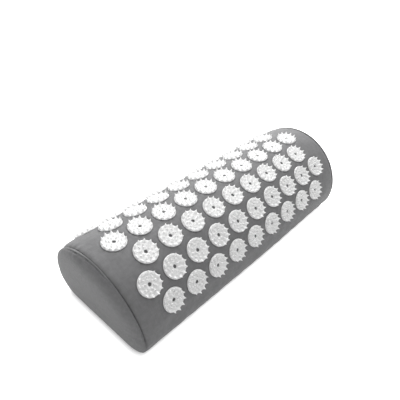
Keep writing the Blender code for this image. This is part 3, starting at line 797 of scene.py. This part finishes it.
def makePanel(name, node, side, grid, swell, seats, material):
    # A panel from the foot seam to its hem at the zip: the arch over places from end to
    # end and arc lengths, moved out by its swell and held down by the discs on it
    hem = widestArc - side * hems["half"]
    foot = -footArc if side > 0 else 2 * fullArc - footArc
    across, turned = withAllowance(seamGrid(grid[0]))
    arc = np.concatenate((
        np.linspace(foot + side * cover["footSeam"], hem - side * hems["above"], grid[1]),
        hem - side * np.linspace(hems["deep"], 0.0, hems["rows"])))
    arc, across = np.meshgrid(np.sort(arc), across)
    turned = np.repeat(turned[:, None], arc.shape[1], axis=1)
    uv = np.stack((across * halfLength, arc), axis=-1)
    arc, hemOut = closeHem(across, arc, hem, side)
    points = pressByDiscs(arch(across, arc, swell(across, arc) + hemOut, turned), seats)
    mesh = makeMesh(name, points, [gridFaces(*arc.shape)], uv, flip=True)
    addSheet(name, mesh, material, node, cushion["fabric"])


def makeHemStitches(name, side, swell, material):
    # A row of stitches beside a hem. Each is a bar along the hem, round across, thinner
    # to its ends as sqrt(1 - share ^ 4), and sunk into the cloth there
    line = widestArc + side * (hems["half"] + hems["stitchIn"])
    share = np.array(hems["stitchShares"])[:, None]
    sides = hems["stitchSides"]
    angle = np.arange(sides)[None, :] * math.tau / sides
    thin = hems["stitchThick"] / 2 * np.sqrt(1.0 - share ** 4)
    x = share * hems["stitchLong"] / 2 + 0 * angle
    over = thin * np.cos(angle) + hems["stitchOver"] - hems["stitchSink"] * share ** 2
    aside = thin * np.sin(angle)
    middles = np.arange(-hems["stitchesTo"], hems["stitchesTo"], hems["stitchPitch"])
    stray = ripples(middles, 0 * middles, hems["strayLength"], seed=31, waves=hems["strayWaves"])
    arc = line + hems["stitchStray"] * stray
    lift = swell(middles / halfLength, arc)
    y, z, ny, nz = (value[:, None, None] for value in sectionAt(arc, lift))
    points = np.stack((middles[:, None, None] + x, y + over * ny + aside * nz,
                       z + over * nz - aside * ny), axis=-1)
    faces = tubeFaces(len(share), sides, len(middles))
    addPiece(name, makeMesh(name, points, faces), material)


# Ends

ends = {
    "columns": 300,
    "rings": 66,
    "fine": 10.0,  # half the rings lie within this distance of the seam
    "crowding": 1.1,  # above 1 the others stand closer towards the seam
    "steps": 4000,
    "middle": 49.0,  # from the seam to the end's middle
    "centreShare": 0.45,
    "allowanceShares": (1.0, 0.5, 0.15),
    "nearBulge": (8.4, 4.2),  # at mid height, and how much greater at the crown than below
    "farBulge": (9.4, -2.4),
    "bulgeOut": 3.4,  # where the seam is drawn in, the end swells back out over it
    "bulgeOutBy": 1.2,  # over this distance from the seam
    "frontTop": (25.0, 40.0),  # the near end's front starts just behind the crown
    "frontFoot": (-140.0, 25.0),
    "frontShare": 0.3,  # over the front it swells back less, and sooner
    "frontSooner": 0.8,
    "softPower": 0.35,  # and it rises less steeply from the seam
    "welt": 0.35,  # the seam edges under the cloth show as a raised band beside the seam
    "weltAt": 1.7,
    "weltWidth": 0.8,
    "groove": 0.9,
    "grooveGather": 0.6,
    "grooveAt": 3.3,
    "grooveWidth": 0.7,
    "weltReach": (48.0, 26.0),  # the band shows this far from the crown, along the outline
    "gather": 0.2,
    "gatherShare": 0.25,  # share of the gathers that is left beyond the band
    "gatherAt": 5.5,
    "gatherWidth": 3.0,
    "ripple": 0.07,
    "rippleLength": 34.0,
    "rippleFrom": 12.0,
}


def meridian():
    # Distances along the end's surface from its seam, closer together near the seam, and
    # there the distance drawn in to the middle and the surface's slopes in and out
    inwards = ends["middle"] * np.linspace(0.0, 1.0, ends["steps"]) ** 2
    share = 1.0 - inwards / ends["middle"]
    dome = np.sqrt(np.clip(1.0 - share ** cushion["domePower"], 0.0, 1.0))
    stepIn, stepOut = np.diff(inwards), np.diff(dome) * cushion["endBulge"]
    step = np.hypot(stepIn, stepOut)
    along = np.concatenate(([0.0], np.cumsum(step)))
    fine, count = ends["fine"], ends["rings"] // 2
    rest = (along[-1] - fine) * np.linspace(0.0, 1.0, count)[1:-1] ** ends["crowding"]
    places = np.concatenate((np.linspace(0.0, fine, count), fine + rest))
    middle = (along[1:] + along[:-1]) / 2
    slopes = (np.interp(places, middle, part / step) for part in (stepIn, stepOut))
    return places, np.interp(places, along, inwards), *slopes


def ridge(along, middle, width):
    # exp(-(distance / width) ^ 2), a soft ridge beside the seam
    return np.exp(-((along - middle) / width) ** 2)


def endDome(side, arc, line, seed):
    # Domed end: rings drawn in to the middle by their share, standing out from the seam
    # by bulge x (1 - share ^ power) ^ 0.5, or up to ^ 0.85 over the near end's front; a
    # welt, a groove and gathers lie along the seam
    along, inwards, slopeIn, slopeOut = line
    share = 1.0 - inwards / ends["middle"]
    depth = seamDepth(arc, side)
    front = rampDown(arc, *ends["frontTop"]) * rampUp(arc, *ends["frontFoot"]) * (side < 0.0)
    swellBy = ends["bulgeOutBy"] - ends["frontSooner"] * front
    lift = ends["bulgeOut"] * depth / seam["tuck"] * (1.0 - np.exp(-along / swellBy))
    lift = lift * (1.0 - ends["frontShare"] * front)
    gathers = puckers(arc, seed)
    band = rampDown(np.abs(arc), *ends["weltReach"])
    gathered = ends["gatherShare"] + (1.0 - ends["gatherShare"]) * band
    rise = ends["welt"] * band * ridge(along, ends["weltAt"], ends["weltWidth"])
    groove = ends["groove"] * band * (1.0 + ends["grooveGather"] * gathers)
    rise = rise - groove * ridge(along, ends["grooveAt"], ends["grooveWidth"])
    gathers = ends["gather"] * gathers * gathered
    rise = rise + gathers * ridge(along, ends["gatherAt"], ends["gatherWidth"])
    y, z, _, _ = sectionAt(arc, lift - depth - slack(side, arc) + rise * slopeOut)
    middle = ends["centreShare"] * cushion["height"]
    y, z = share * y, middle + share * (z - middle)
    most, lean = ends["nearBulge"] if side < 0.0 else ends["farBulge"]
    bulge = most + lean * (z / cushion["height"] - 0.5)
    power = 0.5 + ends["softPower"] * front
    dome = np.clip(1.0 - share ** cushion["domePower"], 0.0, 1.0) ** power
    swell = bulge * dome + cushion["gap"] / 2 + rise * slopeIn
    uneven = ends["ripple"] * ripples(y, z, ends["rippleLength"], seed + 3)
    swell = swell + uneven * smoothStep(inwards / ends["rippleFrom"])
    return np.stack((side * (endX(z) + swell), y, z), axis=-1)


def makeEndCover(name, node, side, seed, material):
    # The turned-in seam edge, the rings of the dome, and a point at its middle
    arc = np.linspace(-fullArc, fullArc, ends["columns"], endpoint=False)[None, :]
    line = [column[:, None] for column in meridian()]
    shares = np.array(ends["allowanceShares"])[:, None]
    edgeIn = seamDepth(arc, side) + slack(side, arc) + cover["allowance"] * shares
    edgeY, edgeZ, _, _ = sectionAt(arc, -edgeIn)
    edge = np.stack((side * (endX(edgeZ) + cushion["gap"] / 2), edgeY, edgeZ), axis=-1)
    points = np.concatenate((edge, endDome(side, arc, line, seed)))
    rows, columns, _ = points.shape
    middle = points[-1].mean(axis=0)
    points = np.concatenate((points.reshape(-1, 3), middle[None]))
    last = rows * columns
    faces = [gridFaces(rows, columns, False, True), fanFaces(np.arange(last - columns, last), last)]
    mesh = makeMesh(name, points, faces, points[:, 1:], flip=side > 0)
    addSheet(name, mesh, material, node, cushion["fabric"])


# Zip

zipRun = {
    "middle": cushion["widestHeight"],
    "plane": 71.656,  # the tapes' middle plane, from the pillow's middle
    "tapeHalf": 177.1,
    "tape": 0.7,
    "tapeEdges": (1.3, 11.5),  # from the middle line
    "tapeBend": (4.4, 2.0),  # from here it curves out to the underside of the hem
    "tapeGap": 0.15,  # under the hem's fabric
    "tapeSteps": (300, 16),
    "tapeRipple": 0.04,
    "tapeRippleLength": 9.0,
    "pitch": 2.5,  # of one row; the rows mesh
    "teeth": (-169.4, 164.6),
    "firstTooth": 0.6,  # in pitches from the end of the bead
    "floor": 0.65,  # back of the teeth, in front of the plane
    "thick": 1.8,
    "bead": (1.1, 2.5),
    "beadHalf": 0.72,
    "sides": 12,
    "squareness": 0.6,  # 1 is a round section, 0 a square one
    # A tooth's sections: places from its root to its head, and halves along and out
    "toothReach": (2.2, 1.7, 1.2, 0.7, 0.1, -0.45, -0.75, -0.82),
    "toothWide": (0.5, 0.48, 0.4, 0.38, 0.5, 0.5, 0.36, 0.12),
    "toothHigh": (0.86, 0.9, 0.88, 0.86, 0.9, 0.84, 0.62, 0.2),
    "beadEnd": ((0.0, 0.4), (0.15, 0.85), (0.5, 1.0)),  # distance from its end, share of size
}


def inZip(x, down, out):
    # Place along the pillow, down from the zip's middle line and outwards from its plane
    x, down, out = np.broadcast_arrays(x, down, out)
    return np.stack((x, zipRun["plane"] + out, zipRun["middle"] - down), axis=-1)


def makeTape(name, node, side, material):
    # Flat by the teeth, and curving out to lie along the underside of its hem
    columns, rows = zipRun["tapeSteps"]
    x = np.linspace(-zipRun["tapeHalf"], zipRun["tapeHalf"], columns)[:, None]
    inner, outer = zipRun["tapeEdges"]
    down = np.linspace(inner, outer, rows)[None, :]
    y, z, _, _ = sectionAt(widestArc + side * down, -cushion["fabric"] - zipRun["tapeGap"])
    curve = rampUp(down, *zipRun["tapeBend"])
    flat = inZip(x, side * down, zipRun["tape"] / 2)
    under = np.stack(np.broadcast_arrays(x, y, z), axis=-1)
    points = flat + curve[..., None] * (under - flat)
    uneven = ripples(x, down, zipRun["tapeRippleLength"], seed=41 + int(side))
    points[..., 1] += zipRun["tapeRipple"] * uneven
    uv = np.stack(np.broadcast_arrays(x, side * down), axis=-1)
    mesh = makeMesh(name, points, [gridFaces(columns, rows)], uv, flip=side > 0)
    addSheet(name, mesh, material, node, zipRun["tape"])


def makeTeeth(name, node, side, offset, material):
    # Each tooth is lofted through rounded sections: a root in the bead, a narrower neck
    # and a head past the middle line. The section is |cos| ^ 0.6 by |sin| ^ 0.6.
    sections = (zipRun["toothReach"], zipRun["toothWide"], zipRun["toothHigh"])
    reach, wide, high = (np.array(part)[:, None] for part in sections)
    angle = np.arange(zipRun["sides"])[None, :] * math.tau / zipRun["sides"]
    flat, rise = (np.sign(wave) * np.abs(wave) ** zipRun["squareness"]
                  for wave in (np.cos(angle), np.sin(angle)))
    start, end = zipRun["teeth"]
    pitch, floor = zipRun["pitch"], zipRun["floor"]
    middles = np.arange(start + pitch * (offset + zipRun["firstTooth"]), end - pitch / 2, pitch)
    tooth = inZip(wide * flat + middles[:, None, None], side * reach,
                  floor + zipRun["thick"] / 2 + high * rise)
    inset, slim = np.array(zipRun["beadEnd"]).T
    bead = np.concatenate((start + inset, end - inset[::-1]))[:, None]
    slim = np.concatenate((slim, slim[::-1]))[:, None]
    inner, outer = zipRun["bead"]
    across = (inner + outer) / 2 + slim * (outer - inner) / 2 * flat
    cord = inZip(bead, side * across, floor + zipRun["beadHalf"] * (1.0 + slim * rise))
    first = tooth[..., 0].size
    faces = tubeFaces(len(reach), zipRun["sides"], len(middles))
    faces = faces + [part + first for part in tubeFaces(len(bead), zipRun["sides"])]
    points = np.concatenate((tooth.reshape(-1, 3), cord.reshape(-1, 3)))
    mesh = makeMesh(name, points, faces, flip=side > 0)
    addPiece(name, mesh, material, (node,))


# Foam core

foam = {
    "around": 200,
    "rings": 61,
    "clear": 0.5,  # between the foam and the cover
    "zipRoom": 4.6,  # the foam stays clear of the zip by this much more
    "zipReach": (11.0, 2.0),
    "edge": 4.5,  # rounding at its ends
    "edgeLong": 8.0,
    "endIn": 1.5,  # inside the end seams
    "bulgeLess": 2.5,
    "capShares": (0.97, 0.85, 0.6, 0.3, 0.08),
}


def foamCap(side, ring):
    # Rings that shrink to the middle by their share, out by bulge x (1 - share ^ power) ^ 0.5
    share = np.array(foam["capShares"])[:, None]
    middle = ends["centreShare"] * cushion["height"]
    y, z = share * ring[:, 1], middle + share * (ring[:, 2] - middle)
    bulge = (cushion["endBulge"] - foam["bulgeLess"]) * np.sqrt(1.0 - share ** cushion["domePower"])
    return np.stack((side * (endX(z) + bulge - foam["endIn"]), y, z), axis=-1)


def makeFoam(material):
    # A closed tube of rings inside the cover, shut by two domed caps
    arc = np.linspace(-fullArc, fullArc, foam["around"], endpoint=False)[None, :]
    across = np.linspace(-1.0, 1.0, foam["rings"])[:, None]
    atZip = foam["zipRoom"] * rampDown(np.abs(arc - widestArc), *foam["zipReach"])
    distance = halfLength * (1.0 - np.abs(across))
    rounding = foam["edge"] * (1.0 - smoothStep(distance / foam["edgeLong"]))
    wall = cushion["fabric"] + foam["clear"] + discs["rowPuff"]
    y, z, _, _ = sectionAt(arc, -wall - atZip - rounding - slack(across, arc))
    tube = np.stack((across * (endX(z) - foam["endIn"]), y, z), axis=-1)
    points = np.concatenate((foamCap(-1.0, tube[0])[::-1], tube, foamCap(1.0, tube[-1])))
    count, columns, _ = points.shape
    poles = np.stack((points[0].mean(axis=0), points[-1].mean(axis=0)))
    last = count * columns
    faces = [gridFaces(count, columns, False, True),
             np.concatenate((fanFaces(np.arange(columns)[::-1], last),
                             fanFaces(np.arange(last - columns, last), last + 1)))]
    points = np.concatenate((points.reshape(-1, 3), poles))
    mesh = makeMesh("foamCore", points, faces, flip=True)
    piece = addPiece("foamCore", mesh, material, ("foam_core",))


# Metal pieces

castEdges = {"merge": 0.001, "flatAngle": 1.0, "steps": 3, "angle": 30.0}
castPieces = (
    # name, node, body and the rounding of its edges
    ("zipStopClosedEnd", "zip_stop_closed_end", "cushion", 0.3),
    ("zipStopOpenEnd", "zip_stop_open_end", "cushion", 0.3),
    ("zipSlider", "zip_slider", "slider", 0.25),
    ("zipPull", "zip_pull", "pull", 0.25),
)


def copyNode(name, node, body, rounding, material):
    # A rigid node's shape with its doubles merged and its edges rounded
    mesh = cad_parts[node].data.copy()
    shape = bmesh.new()
    shape.from_mesh(mesh)
    bmesh.ops.remove_doubles(shape, verts=shape.verts, dist=castEdges["merge"] * mm)
    bmesh.ops.dissolve_limit(shape, angle_limit=math.radians(castEdges["flatAngle"]),
                             verts=shape.verts, edges=shape.edges)
    shape.to_mesh(mesh)
    shape.free()
    mesh.materials.clear()
    mesh.shade_smooth()
    piece = addPiece(name, mesh, material, (node,), body)
    edges = piece.modifiers.new("roundedEdges", "BEVEL")
    edges.width = rounding * mm
    edges.segments = castEdges["steps"]
    edges.limit_method = "ANGLE"
    edges.angle_limit = math.radians(castEdges["angle"])


# Assembly

setCamera(look)
setStudio(light)
print("camera and light are set")
fabric = wovenCotton("wovenCotton", weave)
plastic = mouldedAbs(absFinish)
seats = discSeats()
makeFoam(cellFoam(foamFinish))
print("foam core is made")
makePanel("coverTop", "top_panel", 1.0, cover["topGrid"], topSwell, seats, fabric)
makePanel("coverBase", "base_panel", -1.0, cover["baseGrid"], baseSwell, (), fabric)
makeEndCover("coverNearEnd", "near_end_panel", -1.0, seed=21, material=fabric)
makeEndCover("coverFarEnd", "far_end_panel", 1.0, seed=22, material=fabric)
print("cover panels are made")
makeDiscs(seats, plastic)
print("discs are made:", len(seats))
metal, nylon = platedZinc(nickelFinish), mouldedNylon(nylonFinish)
tape = wovenCotton("wovenPolyesterTape", tapeWeave)
thread = sewingThread(threadFinish)
makeTape("zipTapeUpper", "zip_tape_upper", -1.0, tape)
makeTape("zipTapeLower", "zip_tape_lower", 1.0, tape)
makeTeeth("zipTeethUpper", "zip_teeth_upper", -1.0, offset=0.0, material=nylon)
makeTeeth("zipTeethLower", "zip_teeth_lower", 1.0, offset=0.5, material=nylon)
for name, node, body, rounding in castPieces:
    copyNode(name, node, body, rounding, metal)
makeHemStitches("hemStitchesUpper", -1.0, topSwell, thread)
makeHemStitches("hemStitchesLower", 1.0, baseSwell, thread)
print("zip is made")
